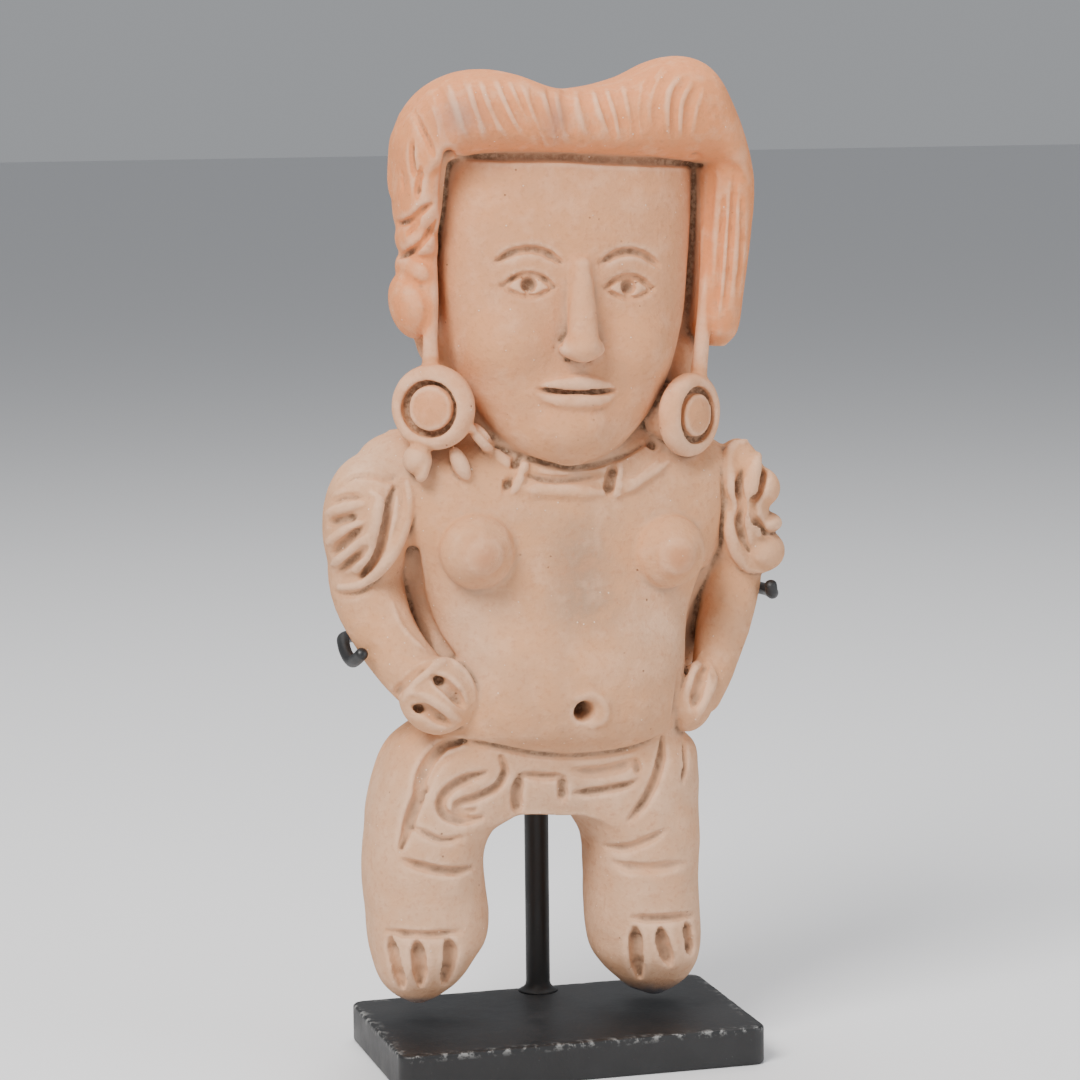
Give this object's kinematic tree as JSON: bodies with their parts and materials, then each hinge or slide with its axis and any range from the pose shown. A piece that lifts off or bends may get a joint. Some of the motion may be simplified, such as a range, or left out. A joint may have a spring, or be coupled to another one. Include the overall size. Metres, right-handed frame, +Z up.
{
  "type": "pottery figure",
  "caption": "Small hand-modelled fired clay figure of a standing woman, held by a wire cradle on a black plate and rod stand.",
  "frame": {"origin": "centre of the plate's underside", "axes": "+Z up, the figure faces -Y, +X to the right of someone facing it"},
  "size_m": [0.0763, 0.0365, 0.1596],
  "materials": {
    "fired_clay": "unglazed, matt, gritty, with grey-brown soil in the recesses",
    "black_paint": "satin black paint, worn pale at the plate's front edge"
  },
  "bodies": {
    "root": {"pottery_figure": "fired_clay", "stand_base_plate": "black_paint", "stand_rod": "black_paint", "cradle_wire_left": "black_paint", "cradle_wire_right": "black_paint"}
  },
  "joints": []
}
